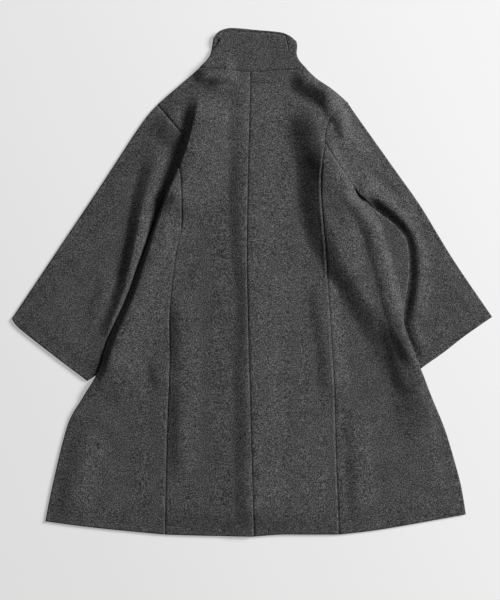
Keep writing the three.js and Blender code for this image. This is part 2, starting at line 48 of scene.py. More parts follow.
# The heights of the middle of the lowest and the top layer, of a sleeve's top pressed down by the body,
# and how much a sleeve lifts the front and the back that lie over it.
FLOOR_LAYER = WALL / 2
TOP_LAYER = 7.2
SQUEEZED_SLEEVE = 4.2
FRONT_OVER_SLEEVE = 6.6
BACK_OVER_SLEEVE = 4.4

# The front closure: half of its lap, how much the upper front is lifted there, and between which places.
# The lap's top lies a little below the neck's middle.
LAP = 25
LAP_LIFT = 2.8
LAP_RAMP = (-63, -33)
LAP_TOP_DROP = 2
COLLAR_END_GAP = 1
FRONT_HEM_RISE = 3

# Between these distances the lift dies away beside a sleeve, the pressing begins down the body's edge, and
# both come in beyond the underarm seam.
LIFT_REACH = (14, 44)
PRESS_BEGINS = (8, 45)
UNDERARM_CLEAR = (4, 28)

# At an outer edge the upper layer comes down this share of the way to the lower one, and rises again over
# this distance. The body's side edge does so below this height on the coat, where no sleeve is under it.
EDGE_SETTLE = 0.9
EDGE_RISE = 52
OPEN_EDGE_BELOW = -300

# The pale surface. Painted light: this share of its brightness is emitted by the surface itself, though it is
# no lamp, so that its shadows stay as light as a bright studio leaves them. The painted light brightens along
# a direction, between two places along it, in metres, standing in for the fall-off of the studio's wide soft
# light.
FLOOR_SIZE = 12
FLOOR_GREY = np.array([0.86, 0.86, 0.855])
PAINTED_LIGHT_SHARE = 0.5
PAINTED_LIGHT_DIRECTION = (1, 0.5, 0)
PAINTED_LIGHT_PLACES = (-0.7, 0.7)
PAINTED_LIGHT_BRIGHTNESS = (0.732, 0.9)

# The spacing of the fine grid that shows, and of the hidden cloth underneath, and of the rows that differ
# from it. At an edge or a seam the rows stand at close steps.
FINE = 3.0
HIDDEN = 9.0
FALL_SPACING = FINE * 1.15
UNDERARM_SPACING = FINE * 0.8
COLLAR_SPACING = FINE * 0.5
COLLAR_HEIGHT = 90
EDGE_STEPS = np.array([0, 0.35, 0.8, 1.5, 2.4, 3.6])

# The share of a sleeve's rows beside the underarm seam. In their last part they shift to the inner seam.
UNDERARM_SHARE = 0.3
SHIFT_FROM = 0.7

# The front's rows crowd towards the top of its lap by this power, and the shape of its top fades by this one.
LAP_CROWDING = 0.8
FRONT_TOP_FADE = 5

# At a turned edge the normal keeps this much of the cloth's own, and leans outwards with this weight.
LEAST_OWN_NORMAL = 0.2
TURN_WEIGHT = 4

# The spacing of the points along a line, and how many of them at the shoulder a sleeve's shape leaves out,
# how many points are measured at once, and the distances that count as none.
LINE_STEP = 4.0
SHOULDER_POINTS = 30
POINTS_AT_ONCE = 4000
ON_LINE = 0.05
TINY = 1e-6
NO_LENGTH = 1e-9

# A seam is a groove this deep, and its sides fall into it within about this distance.
SEAM_DEPTH = 1.7
SEAM_REACH = 2.0

# The photograph's height and middle, in millimetres on the surface, and the lens that looks straight down.
PHOTO_HEIGHT = 1230
PHOTO_MIDDLE = (-4, -35)
LENS = 85
SENSOR = 36

# The soft key light, in metres and degrees: how far off it is, how far it is turned from the coat's right
# towards the collar, how high it stands over the surface, its size and its power. FILL comes from all round.
KEY_DISTANCE = 12
KEY_TURN = 25
KEY_TILT = 30
KEY_SIZE = 4.5
KEY_POWER = 2600
FILL = 0.07

# The wool: the scale of its fibres, its cloudiness and its nap, the greys of fibres and clouds at places of
# their noise, and how much more blue than red it is.
FIBRE_SCALE = 460
CLOUD_SCALE = 36
NAP_SCALE = 800
NAP_HEIGHT = 0.0006
FIBRE_GREYS = ((0.36, 0.0035), (0.49, 0.036), (0.62, 0.16))
CLOUD_GREYS = ((0.3, 0.86), (0.7, 1.14))
BLUER = 1.015

# The seams and edges of the coat in plan, as points of smooth curves: first those on its middle, then those
# of either side. The sign is 1 where +X is. Beside the body's edge a sleeve is pressed down within the first
# press reach, and free beyond the second.
CENTRE_BACK = [(-3, 432), (-10, 121), (-8, -76), (4, -519)]
CENTRE_FRONT_TOP = 372
CENTRE_FRONT_BOTTOM = -516
LEFT = {
    "sign": -1,
    "press_reach": (1.5, 7),
    "neck_back": [(-3, 432), (-28, 433), (-56, 436), (-106, 439)],
    "neck_front": [(0, 372), (-40, 381), (-80, 408), (-106, 439)],
    "collar_side": [(-77, 502), (-79, 490), (-83, 469), (-91, 455), (-106, 439)],
    "shoulder": [(-106, 439), (-127, 421), (-156, 396), (-193, 364)],
    "armhole_back": [(-193, 364), (-176, 344), (-156, 320), (-142, 303), (-138, 285), (-142, 262),
                     (-150, 243)],
    "under_back": [(-150, 243), (-159, 215), (-168, 192), (-178, 173)],
    "armhole_front": [(-193, 364), (-164, 332), (-148, 290), (-145, 240), (-150, 200)],
    "under_front": [(-150, 200), (-162, 183), (-178, 173)],
    "princess": [(-150, 243), (-145, 215), (-143, 174), (-144, 113), (-156, 55), (-168, -59), (-168, -158),
                 (-174, -322), (-178, -515)],
    "hem_back": [(4, -519), (-55, -518), (-111, -517), (-178, -515)],
    "hem_side": [(-178, -515), (-254, -508), (-340, -499), (-422, -488)],
    "body_edge": [(-178, 173), (-195, 125), (-226, 47), (-253, -27), (-293, -117), (-314, -182), (-346, -236),
                  (-371, -278), (-387, -328), (-409, -422), (-422, -488)],
    "sleeve_outer": [(-193, 364), (-229, 320), (-311, 195), (-400, 62), (-491, -74)],
    "cuff": [(-491, -74), (-475, -94), (-404, -150), (-338, -200)],
    "sleeve_inner": [(-180.4, 174), (-190, 144), (-193, 124), (-198, 95), (-217, 47), (-243, -27),
                     (-283, -117), (-298, -158), (-314, -183), (-338, -200)],
}
RIGHT = {
    "sign": 1,
    "press_reach": (3, 26),
    "neck_back": [(-3, 432), (20, 432), (49, 435), (111, 437)],
    "neck_front": [(0, 372), (42, 380), (84, 406), (111, 437)],
    "collar_side": [(89, 495), (91, 485), (90, 468), (96, 454), (111, 437)],
    "shoulder": [(111, 437), (133, 415), (164, 394), (197, 367)],
    "armhole_back": [(197, 367), (176, 351), (159, 334), (150, 310), (148, 284)],
    "under_back": [(148, 284), (160, 264), (176, 240), (200, 205), (217, 176)],
    "armhole_front": [(197, 367), (168, 336), (152, 292), (150, 245), (160, 208)],
    "under_front": [(160, 208), (182, 190), (217, 176)],
    "princess": [(148, 284), (143, 246), (140, 205), (142, 150), (151, 60), (156, -27), (162, -117),
                 (168, -223), (172, -363), (178, -515)],
    "hem_back": [(4, -519), (58, -515), (120, -515), (178, -515)],
    "hem_side": [(178, -515), (240, -508), (304, -498), (437, -474)],
    "body_edge": [(217, 176), (254, 146), (295, 113), (316, 80), (320, 23), (314, -27), (308, -64),
                  (310, -92), (328, -139), (345, -180), (369, -240), (393, -297), (411, -355), (427, -415),
                  (437, -474)],
    "sleeve_outer": [(197, 367), (206, 352), (294, 228), (346, 154), (412, 46), (491, -70)],
    "cuff": [(491, -70), (435, -109), (394, -141), (353, -170), (324, -193)],
    "sleeve_inner": [(219, 179), (244, 158.5), (254, 138), (260, 105), (271, 31), (291, -43), (305, -109),
                     (324, -193)],
}
COLLAR_TOP_BACK = [(-77, 502), (-71, 511), (-59, 518), (-39, 521), (8, 517), (57, 512.5), (77, 505),
                   (89, 495)]
COLLAR_TOP_FRONT = [(-77, 502), (-50, 478), (0, 458), (60, 474), (89, 495)]

# Folds. Each is a ridge along its line, which runs down the coat: the cloth it is on, its height, how
# far it falls away on the coat's left and right, how crisp its crest is from 0 to 1, and how far it takes
# to rise and to die. Where a height or a reach has several values, they follow each other down the line.
FOLDS = [
    # name, on, height, left, right, crisp, rise, die, line
    ("dome of the layers", "both", 9, 300, 220, 0, 120, 200, [(10, 440), (10, 200), (10, -100), (10, -700)]),
    ("shoulder blade fold", "both", (20, 22, 22, 20), (30, 26, 24, 22), 110, 0.9, 60, 56,
     [(-104, 396), (-110, 362), (-117, 329), (-127, 290), (-140, 250), (-155, 216), (-171, 178),
      (-187, 138)]),
    ("edge over the left sleeve", "body", 12, 18, 85, 0, 90, 90,
     [(-150, 221), (-168, 182), (-182, 141), (-209, 54), (-236, -27), (-274, -117), (-295, -180),
      (-322, -240)]),
    ("left sleeve ridge", "sleeve", (6, 12, 16, 14, 8), (34, 30, 26, 26, 30), 34, 0.4, 60, 70,
     [(-186, 290), (-196, 249), (-220, 167), (-236, 85), (-255, 3), (-271, -48), (-288, -100), (-300, -140)]),
    ("left sleeve head", "both", 5.5, 42, 40, 0, 20, 30,
     [(-184, 350), (-170, 328), (-157, 304), (-150, 282)]),
    ("left shoulder dip", "both", 6, 38, 70, 0, 16, 50, [(-62, 430), (-62, 400), (-66, 360)]),
    ("ridge under the left neck", "both", 9, 25, 50, 0, 30, 30,
     [(-124, 418), (-95, 424), (-60, 425), (-26, 427)]),
    ("right shoulder edge", "both", (11, 20, 24), 34, 34, 0.3, 36, 44,
     [(76, 424), (102, 413), (132, 398), (157, 379), (178, 352), (187, 328), (184, 304)]),
    ("right sleeve head", "sleeve", 9, 20, 24, 0.6, 12, 20, [(186, 356), (184, 322), (184, 288)]),
    ("right back ridge", "both", (21, 23, 24, 21, 16, 14, 12, 12, 11), (54, 64, 54, 58, 42, 54, 70, 70, 70),
     (130, 130, 120, 110, 100, 70, 50, 50, 50), 0.25, 70, 110,
     [(118, 386), (128, 330), (144, 252), (143, 195), (147, 150), (160, 110), (174, 75), (188, 40), (209, 3),
      (250, -60), (300, -118), (326, -165), (346, -225), (358, -285), (378, -340)]),
    ("right underarm ridge, top", "both", 9, 52, 24, 0, 60, 50,
     [(140, 300), (158, 252), (181, 211), (203, 170), (215, 140), (232, 100)]),
    ("right underarm ridge, foot", "both", 8, 30, 20, 0, 50, 40,
     [(212, 180), (222, 152), (246, 111), (271, 31), (291, -43), (312, -109), (338, -174)]),
    ("right sleeve ridge", "sleeve", (12, 11, 9, 8), (26, 32, 30, 26), 44, 0.2, 30, 50,
     [(206, 206), (236, 180), (262, 157), (286, 134), (306, 109), (318, 70), (326, 27), (328, -14),
      (322, -66), (322, -100)]),
    ("right sleeve top", "sleeve", 7, 36, 40, 0, 40, 60,
     [(215, 318), (246, 268), (293, 222), (328, 172), (356, 120)]),
    ("ridge beside the centre seam", "body", 6, 34, 80, 0, 50, 60,
     [(-14, 415), (-18, 252), (-14, 88), (-6, 6), (-2, -76), (-8, -158), (-6, -281), (-6, -404), (-2, -519)]),
    ("left skirt ridge", "body", 5, 28, 45, 0, 50, 90,
     [(-146, -20), (-143, -90), (-143, -250), (-146, -430)]),
    ("left skirt dimple", "body", 3, 22, 40, 0, 40, 60, [(-212, -130), (-190, -190), (-170, -250)]),
    ("right skirt dip", "body", 6, 30, 40, 0, 40, 60,
     [(132, 10), (140, -20), (147, -76), (158, -158), (162, -260)]),
    ("right skirt ridge", "body", 4, 26, 40, 0, 60, 60, [(206, -250), (214, -340), (218, -430), (222, -519)]),
    ("left hem side", "body", 5, 40, 60, 0, 60, 40, [(-330, -290), (-352, -340), (-372, -420), (-384, -519)]),
    ("left cuff dimple", "sleeve", 4, 26, 30, 0, 40, 40, [(-290, 30), (-306, -30), (-330, -90)]),
    ("right cuff dimple", "sleeve", 4, 24, 30, 0, 30, 30, [(420, 10), (440, -30), (470, -66)]),
]

# Creases, edges under the cloth and stitch lines: thin grooves along a line.
CREASES = [
    # name, on, depth, half width, line
    ("collar edge", "collar", 1.3, 1.8,
     [(-60, 511), (-49, 514), (14, 512), (50, 510), (67, 505), (71, 494), (74, 480)]),
    ("collar side fold", "collar", 3.5, 3.5, [(-70, 495), (-77, 485), (-86, 474)]),
    ("collar crease", "collar", 0.8, 1.8, [(31, 479), (50, 479.5), (74, 478)]),
    ("short collar crease", "collar", 0.7, 1.6, [(48, 478), (49, 468), (50, 459)]),
    ("right seam allowance", "body", -0.8, 2.4,
     [(139, 246), (136, 205), (138, 150), (147, 60), (152, -27), (158, -117), (164, -223), (168, -363),
      (174, -515)]),
    ("right side crease", "body", 0.8, 1.6, [(143, 207), (158, 202), (176, 195), (211, 180)]),
    ("right side crease, upper", "body", 0.5, 1.6, [(150, 221), (164, 218), (178, 213)]),
    ("right armhole, below", "body", 1, 1.7, RIGHT["under_back"]),
    ("right armhole, below, on the sleeve", "sleeve", 1, 1.7, RIGHT["under_back"]),
    ("left armhole", "body", 1.2, 1.8, LEFT["armhole_back"][:4]),
    ("left armhole, on the sleeve", "sleeve", 1.2, 1.8, LEFT["armhole_back"][:4]),
    ("left seam, top", "body", 1.1, 1.8, LEFT["princess"][:4]),
    ("sleeve seam by the cuff", "sleeve", 0.9, 1.7, [(327, -139), (341, -158), (352, -170)]),
]


def smooth(t):
    t = np.clip(t, 0, 1)
    return t * t * (3 - 2 * t)


class Curve:
    """A smooth plan curve through points, with places on it by share of its length."""

    SAMPLES = 400

    def __init__(self, points):
        p = np.array(points, float)
        spans = np.linspace(0, len(p) - 1, self.SAMPLES + 1)
        k = np.minimum(spans.astype(int), len(p) - 2)
        w = (spans - k)[:, None]
        a, b = p[np.maximum(k - 1, 0)], p[k]
        c, d = p[k + 1], p[np.minimum(k + 2, len(p) - 1)]
        leave, arrive = (c - a) / 2, (d - b) / 2
        self.dense = ((2 * b - 2 * c + leave + arrive) * w**3 + (3 * c - 3 * b - 2 * leave - arrive) * w**2
                      + leave * w + b)
        steps = np.linalg.norm(np.diff(self.dense, axis=0), axis=1)
        self.places = np.concatenate([[0], np.cumsum(steps)])
        self.length = self.places[-1]

    def at(self, share):
        place = np.clip(share, 0, 1) * self.length
        return np.stack([np.interp(place, self.places, self.dense[:, k]) for k in (0, 1)], axis=-1)

    def line(self):
        return self.at(np.linspace(0, 1, math.ceil(self.length / LINE_STEP) + 1))


class Boundary:
    """Several curves as one, each with its share of the whole."""

    def __init__(self, *parts):
        self.parts = [(points if callable(points) else Curve(points).at, share) for points, share in parts]

    def __call__(self, t):
        t = np.asarray(t, float)
        made = np.zeros(t.shape + (2,))
        start = 0.0
        for at, share in self.parts:
            here = (t >= start - NO_LENGTH) if start else np.ones(t.shape, bool)
            made = np.where(here[..., None], at((t - start) / share), made)
            start += share
        return made


def nearest(line, xy):
    """For each point: its distance to a polyline, the place along the line, the side (1 is left of the
    line's direction), the offset from the line, and the line's left normal there."""
    start, step = line[:-1], np.diff(line, axis=0)
    length = np.linalg.norm(step, axis=1)
    travelled = np.concatenate([[0], np.cumsum(length)])
    found = []
    for part in np.array_split(xy, max(1, len(xy) // POINTS_AT_ONCE)):
        off = part[:, None, :] - start
        share = np.clip((off * step).sum(-1) / length**2, 0, 1)
        off = off - share[..., None] * step
        squared = (off**2).sum(-1)
        best = squared.argmin(1)
        row = np.arange(len(part))
        off = off[row, best]
        found.append(np.column_stack([
            np.sqrt(squared[row, best]),
            travelled[best] + share[row, best] * length[best],
            np.where(step[best, 0] * off[:, 1] - step[best, 1] * off[:, 0] >= 0, 1, -1),
            off,
            -step[best, 1] / length[best],
            step[best, 0] / length[best],
        ]))
    found = np.concatenate(found)
    return {"distance": found[:, 0], "place": found[:, 1], "left": found[:, 2], "off": found[:, 3:5],
            "normal": found[:, 5:7], "total": travelled[-1]}


def inside(polygon, xy):
    """Which points lie inside a polygon."""
    a, b = polygon, np.roll(polygon, 1, axis=0)
    y = xy[:, 1:2]
    crosses = (a[:, 1] > y) != (b[:, 1] > y)
    rise = np.where(crosses, b[:, 1] - a[:, 1], 1.0)
    at = (b[:, 0] - a[:, 0]) * (y - a[:, 1]) / rise + a[:, 0]
    return (crosses & (xy[:, 0:1] < at)).sum(1) % 2 == 1


def along_line(values, share):
    """A value, or several values down a line, at shares of the line."""
    values = np.atleast_1d(values)
    return np.interp(share, np.linspace(0, 1, len(values)), values)


FOLD_LINES = [Curve(fold[-1]).line() for fold in FOLDS]
CREASE_LINES = [Curve(crease[-1]).line() for crease in CREASES]


def folds_on(layer, xy):
    """How high the folds raise a layer. On the left of its line a fold may fall away crisply."""
    height = np.zeros(len(xy))
    for (_, on, high, left, right, crisp, rise, die, _), line in zip(FOLDS, FOLD_LINES):
        if on not in ("both", layer):
            continue
        reach = max(np.max(left), np.max(right))
        near_box = ((xy > line.min(0) - reach) & (xy < line.max(0) + reach)).all(1)
        if not near_box.any():
            continue
        near = nearest(line, xy[near_box])
        on_left = near["left"] < 0
        down = near["place"] / near["total"]
        falls = np.where(on_left, along_line(left, down), along_line(right, down))
        share = np.clip(1 - near["distance"] / falls, 0, 1)
        round_top = (1 - (1 - share) ** 2) ** 2
        across = round_top + (share**2 - round_top) * np.where(on_left, crisp, 0)
        ends = smooth(near["place"] / rise) * smooth((near["total"] - near["place"]) / die)
        height[near_box] += along_line(high, down) * across * ends
    return height


def creases_on(layer, xy):
    """How deep the creases are in a layer."""
    depth = np.zeros(len(xy))
    for (_, on, deep, half_width, _), line in zip(CREASES, CREASE_LINES):
        if on != layer:
            continue
        near_box = ((xy > line.min(0) - 4 * half_width) & (xy < line.max(0) + 4 * half_width)).all(1)
        if near_box.any():
            near = nearest(line, xy[near_box])
            depth[near_box] += deep * np.exp(-((near["distance"] / half_width) ** 2))
    return depth


def with_lines(side):
    """A side of the coat with the lines that its layers are measured from."""
    upper = side["collar_side"] + side["shoulder"][1:] + side["sleeve_outer"][1:]
    edge = Curve(side["body_edge"]).line()
    hem = side["hem_back"] + side["hem_side"][1:]
    return side | {
        "upper_line": Curve(upper).line(),
        "edge_line": edge,
        "inner_line": Curve(side["sleeve_inner"]).line(),
        "open_edge": edge[edge[:, 1] < OPEN_EDGE_BELOW],
        "hem_line": Curve(hem).line(),
        "cuff_line": Curve(side["cuff"]).line(),
        "outer_line": Curve(side["sleeve_outer"]).line(),
        "back_seam": Curve(side["armhole_back"] + side["under_back"][1:]).line(),
        "front_seam": Curve(side["armhole_front"] + side["under_front"][1:]).line(),
        "sleeve_shape": np.concatenate([
            Curve(side["sleeve_inner"]).line(),
            Curve(side["cuff"][::-1]).line()[1:],
            Curve(side["sleeve_outer"]).line()[::-1][1:-SHOULDER_POINTS],
        ]),
    }


SIDES = [with_lines(LEFT), with_lines(RIGHT)]


def underarm_clear(seam, xy):
    """From 0 beside a seam to 1 well away from it, so that the layers meet at the seam."""
    start, end = UNDERARM_CLEAR
    return smooth((nearest(seam, xy)["distance"] - start) / (end - start))


def lift_share(side, seam, xy):
    """How much the body is lifted, because a sleeve lies under it."""
    away = np.where(inside(side["sleeve_shape"], xy), 0, nearest(side["sleeve_shape"], xy)["distance"])
    start, end = LIFT_REACH
    return (1 - smooth((away - start) / (end - start))) * underarm_clear(seam, xy)


def settled(high, low, lines, xy):
    """The height of an upper layer that comes down on the lower one towards the given edges."""
    distance = np.min([nearest(line, xy)["distance"] for line in lines], axis=0)
    room = np.maximum(high - low - WALL - SEAM_GAP, 0)
    return high - EDGE_SETTLE * room * (1 - smooth(distance / EDGE_RISE))


def back_layer(side, xy):
    """The height of the middle of the back's cloth."""
    lift = BACK_OVER_SLEEVE * lift_share(side, side["back_seam"], xy)
    high = TOP_LAYER + lift + folds_on("body", xy) - creases_on("body", xy)
    edges = [side["outer_line"], side["open_edge"], side["hem_line"]]
    return settled(high, front_layer(side, xy), edges, xy)


def front_layer(side, xy):
    """The height of the middle of the front's cloth."""
    start, end = LAP_RAMP
    lap = LAP_LIFT * smooth((xy[:, 0] - start) / (end - start)) if side["sign"] < 0 else 0
    return FLOOR_LAYER + lap + FRONT_OVER_SLEEVE * lift_share(side, side["front_seam"], xy)


def sleeve_layer(side, xy):
    """The height of the middle of a sleeve's upper cloth, which the body's edge presses down."""
    own = TOP_LAYER + folds_on("sleeve", xy) - creases_on("sleeve", xy)
    own = settled(own, FLOOR_LAYER, [side["outer_line"], side["cuff_line"]], xy)
    near = nearest(side["edge_line"], xy)
    outside = np.where(near["left"] * side["sign"] > 0, near["distance"], 0)
    start, end = side["press_reach"]
    pressed = 1 - smooth((outside - start) / (end - start))
    start, end = PRESS_BEGINS
    pressed *= smooth((near["place"] - start) / (end - start)) * underarm_clear(side["back_seam"], xy)
    return own + (SQUEEZED_SLEEVE - own) * pressed


def body_edges(side):
    """The lines at which the body's two layers meet, which side of each is inside, and the gap there."""
    inward = -side["sign"]
    return [(side["upper_line"], inward, SEAM_GAP), (side["edge_line"], inward, SEAM_GAP)]


def sleeve_edges(side):
    return [(side["upper_line"], -side["sign"], 0), (side["inner_line"], side["sign"], SEAM_GAP)]


def cloth(plan, upper, lower, edges, up_or_down, sink=0.0):
    """The middle points of a layer over its plan grid, and how far each has turned over an edge, as an
    outward direction. Near a closed edge the cloth turns round it, so the two layers meet halfway up."""
    shape = plan.shape[:2]
    xy = plan.reshape(-1, 2)
    high, low = upper(xy), lower(xy)
    distance = np.full(len(xy), np.inf)
    gap, inward = np.zeros(len(xy)), np.zeros((len(xy), 2))
    for line, side, seam_gap in edges:
        near = nearest(line, xy)
        closer = near["distance"] < distance
        on_line = near["distance"] < ON_LINE
        off = near["off"] / np.maximum(near["distance"], NO_LENGTH)[:, None]
        away = np.where(on_line[:, None], near["normal"] * side, off)
        distance = np.where(closer, near["distance"], distance)
        gap = np.where(closer, seam_gap, gap)
        inward = np.where(closer[:, None], away, inward)
    reach = np.clip((distance - ON_LINE) / EDGE_TURN, 0, 1)
    level = np.sqrt(1 - (1 - reach) ** 2)
    middle = (high + low) / 2 + up_or_down * gap / 2
    own = high if up_or_down > 0 else low
    z = middle + (own - np.reshape(sink, -1) * level - middle) * level
    points = np.column_stack([xy, z]).reshape(*shape, 3)
    turned = np.column_stack([-inward * (1 - reach)[:, None], np.zeros(len(xy))]).reshape(*shape, 3)
    return points, turned, level.reshape(*shape, 1)


def surface_normals(points, up_or_down):
    across, along = np.gradient(points, axis=1), np.gradient(points, axis=0)
    normal = np.cross(across, along)
    normal /= np.maximum(np.linalg.norm(normal, axis=-1, keepdims=True), NO_LENGTH)
    return normal * np.where(normal[..., 2:] * up_or_down < 0, -1, 1)


def wall_normals(points, turned, level, up_or_down):
    own = surface_normals(points, up_or_down) * np.maximum(level, LEAST_OWN_NORMAL)
    normal = own + turned * TURN_WEIGHT * (1 - level)
    return normal / np.linalg.norm(normal, axis=-1, keepdims=True)


def steps(length, spacing, start=False, end=False):
    """Shares along a length, even but for close steps at the ends that are asked for."""
    first = EDGE_STEPS[-1] if start else 0
    last = length - (EDGE_STEPS[-1] if end else 0)
    even = np.linspace(first, last, max(2, round((last - first) / spacing)) + 1)
    lead = EDGE_STEPS[:-1] if start else []
    tail = length - EDGE_STEPS[-2::-1] if end else []
    return np.concatenate([lead, even, tail]) / length


def columns_across(widths, spacing):
    """Shares across rows of differing width: equally many in each, with close steps at both ends."""
    close = EDGE_STEPS[None, 1:] / widths[:, None]
    even = np.linspace(0, 1, round(widths.max() / spacing))
    middle = even[None, :] * (1 - 2 * close[:, -1:]) + close[:, -1:]
    zero, one = np.zeros((len(widths), 1)), np.ones((len(widths), 1))
    return np.concatenate([zero, close[:, :-1], middle, 1 - close[:, -2::-1], one], axis=1)


def joined(*parts):
    """Joins the steps of boundary parts, each with its share, into one list."""
    made, start = [np.zeros(1)], 0.0
    for shares, share in parts:
        made.append(start + shares[1:] * share)
        start += share
    return np.concatenate(made)


def plan_patch(inner, outer, top, bottom, rows, columns, top_fade=1.0):
    """A plan grid inside four boundaries. The shapes of the top and bottom fade across it."""
    u = columns if columns.ndim == 2 else np.broadcast_to(columns, (len(rows), len(columns)))
    v = np.broadcast_to(rows[:, None], u.shape)

    def along(a, b):
        return (1 - u)[..., None] * a + u[..., None] * b

    def straight(share):
        every = np.full_like(v, share)
        return along(inner(every), outer(every))

    return (along(inner(v), outer(v))
            + ((1 - v) ** top_fade)[..., None] * (top(u) - straight(0))
            + v[..., None] * (bottom(u) - straight(1)))


def run_lengths(plan, axis):
    """Distance along the grid lines of an axis from their first point."""
    step = np.linalg.norm(np.diff(plan, axis=axis), axis=-1)
    start = np.zeros_like(np.take(step, [0], axis=axis))
    return np.concatenate([start, np.cumsum(step, axis=axis)], axis=axis)


def groove(distance):
    """How deep the cloth is sunk at a distance from a seam."""
    return SEAM_DEPTH * np.exp(-(np.abs(distance / SEAM_REACH) ** 1.5))


def inset(plan, at, by=SEAM_GAP / 2, stop=None):
    """Draws a plan grid in from a seam on one of its sides."""
    side = {"top": plan[0], "bottom": plan[-1], "inner": plan[:, 0], "outer": plan[:, -1]}[at]
    beside = {"top": plan[1], "bottom": plan[-2], "inner": plan[:, 1], "outer": plan[:, -2]}[at]
    side, beside = side[:stop], beside[:stop]
    along = np.gradient(side, axis=0)
    across = np.column_stack([-along[:, 1], along[:, 0]])
    across /= np.linalg.norm(across, axis=1, keepdims=True)
    side += across * by * np.sign(((beside - side) * across).sum())


def shares_of(*lengths):
    return np.array(lengths) / sum(lengths)


def length_of(points):
    return Curve(points).length


def wall_mesh(name, points, normals, wall):
    """A closed wall of cloth round a grid of middle points, as an object."""
    rows, columns = points.shape[:2]
    both = np.concatenate([(points + normals * half * wall).reshape(-1, 3) for half in (0.5, -0.5)])
    index = np.arange(rows * columns).reshape(rows, columns)
    under = index + rows * columns

    def quads(a, b, c, d):
        return np.stack([a, b, c, d], axis=-1).reshape(-1, 4)

    faces = np.concatenate([
        quads(index[:-1, :-1], index[:-1, 1:], index[1:, 1:], index[1:, :-1]),
        quads(under[:-1, :-1], under[1:, :-1], under[1:, 1:], under[:-1, 1:]),
        quads(index[0, 1:], index[0, :-1], under[0, :-1], under[0, 1:]),
        quads(index[-1, :-1], index[-1, 1:], under[-1, 1:], under[-1, :-1]),
        quads(index[:-1, 0], index[1:, 0], under[1:, 0], under[:-1, 0]),
        quads(index[1:, -1], index[:-1, -1], under[:-1, -1], under[1:, -1]),
    ])
    a, b, c, d = (both[faces[:, k]] for k in range(4))
    volume = (a * np.cross(b, c)).sum() + (a * np.cross(c, d)).sum()
    if volume < 0:
        faces = faces[:, ::-1]
    mesh = bpy.data.meshes.new(name)
    mesh.from_pydata((both / METRE).tolist(), [], faces.tolist())
    sheet_faces = 2 * (rows - 1) * (columns - 1)
    mesh.polygons.foreach_set("use_smooth", np.arange(len(faces)) < sheet_faces)
    mesh.update()
    made = bpy.data.objects.new(name, mesh)
    bpy.context.scene.collection.objects.link(made)
    return made


def wool():
    """Charcoal melange: dark cloth with fine pale and black fibres, and a matt, slightly napped face."""
    material = bpy.data.materials.new("charcoal_wool")
    material.use_nodes = True
    nodes, links = material.node_tree.nodes, material.node_tree.links
    shader = nodes["Principled BSDF"]
    where = nodes.new("ShaderNodeTexCoord")

    def noise(scale, detail, roughness=0.6):
        made = nodes.new("ShaderNodeTexNoise")
        made.inputs["Scale"].default_value = scale
        made.inputs["Detail"].default_value = detail
        made.inputs["Roughness"].default_value = roughness
        links.new(where.outputs["Object"], made.inputs["Vector"])
        return made.outputs[0]

    def ramp(value, *stops):
        made = nodes.new("ShaderNodeValToRGB")
        for _ in stops[2:]:
            made.color_ramp.elements.new(0.5)
        for element, (place, grey) in zip(made.color_ramp.elements, stops):
            element.position = place
            element.color = (grey, grey, grey * BLUER, 1)
        links.new(value, made.inputs["Fac"])
        return made.outputs["Color"]

    def mixed(kind, share, a, b):
        made = nodes.new("ShaderNodeMix")
        made.data_type = "RGBA"
        made.blend_type = kind
        made.inputs["Factor"].default_value = share
        links.new(a, made.inputs[6])
        links.new(b, made.inputs[7])
        return made.outputs[2]

    fibres = ramp(noise(FIBRE_SCALE, 3, 0.8), *FIBRE_GREYS)
    cloud = ramp(noise(CLOUD_SCALE, 3), *CLOUD_GREYS)
    links.new(mixed("MULTIPLY", 1.0, fibres, cloud), shader.inputs["Base Color"])
    shader.inputs["Roughness"].default_value = 0.95
    shader.inputs["Specular IOR Level"].default_value = 0.15
    shader.inputs["Sheen Weight"].default_value = 0.04
    shader.inputs["Sheen Roughness"].default_value = 0.6
    bump = nodes.new("ShaderNodeBump")
    bump.inputs["Strength"].default_value = 0.35
    bump.inputs["Distance"].default_value = NAP_HEIGHT
    links.new(noise(NAP_SCALE, 2), bump.inputs["Height"])
    links.new(bump.outputs["Normal"], shader.inputs["Normal"])
    return material


WOOL = wool()


def dressed(made, node):
    """Gives a finished piece its material, hides the part of its node, and attaches it to the root body."""
    made.data.materials.append(WOOL)
    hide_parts(node)
    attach(made, "root")


def fall_rows(side):
    return steps(length_of(side["body_edge"]), FALL_SPACING, start=True)


def body_layers(side):
    return (lambda xy: back_layer(side, xy)), (lambda xy: front_layer(side, xy))


def back_panel(side, name):
    neck, shoulder = length_of(side["neck_back"]), length_of(side["shoulder"])
    neck_share, shoulder_share = shares_of(neck, shoulder)
    arm = length_of(side["armhole_back"])
    arm_share, fall_share = shares_of(arm, length_of(side["princess"]))
    columns = joined((steps(neck, FINE, start=True, end=True), neck_share),
                     (steps(shoulder, FINE, end=True), shoulder_share))
    rows = joined((steps(arm, FINE, start=True, end=True), arm_share), (fall_rows(side), fall_share))
    plan = plan_patch(
        inner=Boundary((CENTRE_BACK, 1)),
        outer=Boundary((side["armhole_back"], arm_share), (side["princess"], fall_share)),
        top=Boundary((side["neck_back"], neck_share), (side["shoulder"], shoulder_share)),
        bottom=Boundary((side["hem_back"], 1)), rows=rows, columns=columns)
    neck_columns = (columns < neck_share + TINY).sum()
    inset(plan, "inner")
    inset(plan, "outer")
    inset(plan, "top", stop=neck_columns)
    across, down = run_lengths(plan, 1), run_lengths(plan, 0)
    sink = groove(across) + groove(across[:, -1:] - across)
    sink[:, :neck_columns] += groove(down[:, :neck_columns])
    upper, lower = body_layers(side)
    points, turned, level = cloth(plan, upper, lower, body_edges(side), 1, sink)
    dressed(wall_mesh(f"{name}_cloth", points, wall_normals(points, turned, level, 1), WALL), name)


